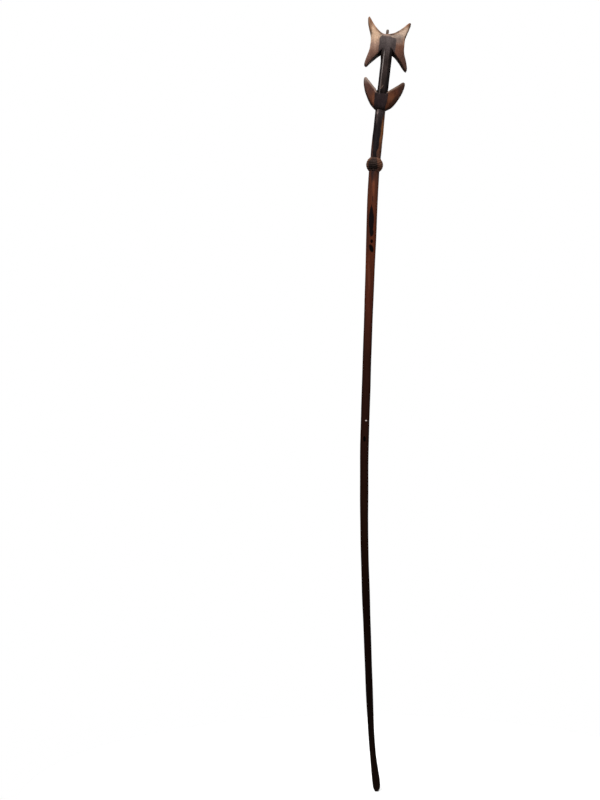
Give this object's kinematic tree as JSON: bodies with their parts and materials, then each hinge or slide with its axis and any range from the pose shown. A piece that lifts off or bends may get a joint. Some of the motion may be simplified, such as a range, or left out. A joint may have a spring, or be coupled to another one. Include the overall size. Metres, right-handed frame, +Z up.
{
  "type": "prestige staff",
  "caption": "Slim, slightly bent carved wooden staff with a ridged knob, a crescent and a horned crown above it, and a small swollen foot.",
  "frame": {"origin": "middle of the small flat tip of the foot", "axes": "+Z up the staff from the foot to the crown, +X to the right of someone facing its front, the front of the crown faces -Y"},
  "size_m": [0.0785, 0.0262, 1.1992],
  "materials": {
    "pale_wood": "hand-rubbed, pale at the horns and dark down the middle",
    "black_heartwood": "hand-rubbed, brown-black, soft gloss",
    "brown_wood": "hand-rubbed, brown with a dark band down the front",
    "knob_wood": "scored across, dull, dark on its left side",
    "red_brown_wood": "hand-rubbed, red-brown above and nearly black towards the foot",
    "pin_iron": "dark, worn iron",
    "brad_metal": "worn bright"
  },
  "bodies": {
    "root": {"crown": "pale_wood", "neck": "black_heartwood", "crescent": "brown_wood", "upper_shaft": "brown_wood", "knob": "knob_wood", "shaft": "red_brown_wood", "crown_pin": "pin_iron", "shaft_brad": "brad_metal"}
  },
  "joints": []
}
